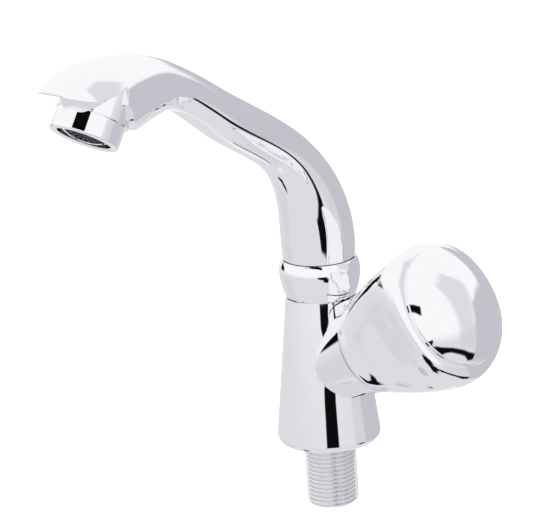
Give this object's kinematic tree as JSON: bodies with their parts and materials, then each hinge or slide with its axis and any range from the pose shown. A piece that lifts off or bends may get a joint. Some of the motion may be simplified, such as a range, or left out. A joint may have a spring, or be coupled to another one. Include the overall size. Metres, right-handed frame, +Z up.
{
  "type": "swan neck tap",
  "caption": "Pillar tap with a swivelling swan neck spout, a sloping three-lobed knob and a threaded inlet shank.",
  "frame": {"origin": "on the tap's upright axis, in the ring-shaped face that stands on the deck", "axes": "+Z up along the tap's upright axis, -Y along the spout at rest, +X the way the knob slopes"},
  "size_m": [0.1016, 0.1673, 0.2072],
  "materials": {
    "polished_chrome": "mirror polished plating",
    "threaded_chrome": "bright plated thread",
    "knob_chrome": "mirror polished plating",
    "brass": "turned",
    "black_rubber": "moulded",
    "white_plastic": "moulded",
    "fibre": "pressed fibre",
    "steel": "bright"
  },
  "bodies": {
    "tap_body": {"body_casting": "polished_chrome", "inlet_shank": "threaded_chrome", "valve_seat": "brass", "spout_collar": "polished_chrome", "spout_slip_washer": "white_plastic", "headwork_bonnet": "brass", "headwork_seal_washer": "fibre"},
    "spout": {"spout_casting": "polished_chrome", "spout_tail": "brass", "tail_o_rings": "black_rubber", "spout_split_ring": "white_plastic", "aerator_housing": "polished_chrome", "aerator_insert": "white_plastic", "aerator_screen": "steel", "aerator_washer": "black_rubber"},
    "knob": {"knob_shell": "knob_chrome", "knob_cap": "knob_chrome", "knob_bush": "white_plastic", "knob_screw": "steel", "spindle": "brass", "spindle_o_rings": "black_rubber", "spindle_circlip": "steel", "spindle_thrust_washer": "white_plastic"},
    "valve": {"valve_carrier": "brass", "tap_washer": "black_rubber", "washer_nut": "brass"}
  },
  "joints": [
    {"name": "spout_swivel", "type": "hinge", "parent": "tap_body", "child": "spout", "pos_m": [0, 0, 0], "axis": [0, 0, 1], "continuous": true},
    {"name": "knob_turn", "type": "hinge", "parent": "tap_body", "child": "knob", "pos_m": [0, 0, 0.0284], "axis": [0.866, 0, 0.5], "range_deg": [0, 540]},
    {"name": "valve_lift", "type": "slide", "parent": "tap_body", "child": "valve", "axis": [0.866, 0, 0.5], "range_m": [0, 0.0045]}
  ],
  "couplings": [
    {"joint": "valve_lift", "follows": "knob_turn", "m_per_rad": 0.000477}
  ]
}
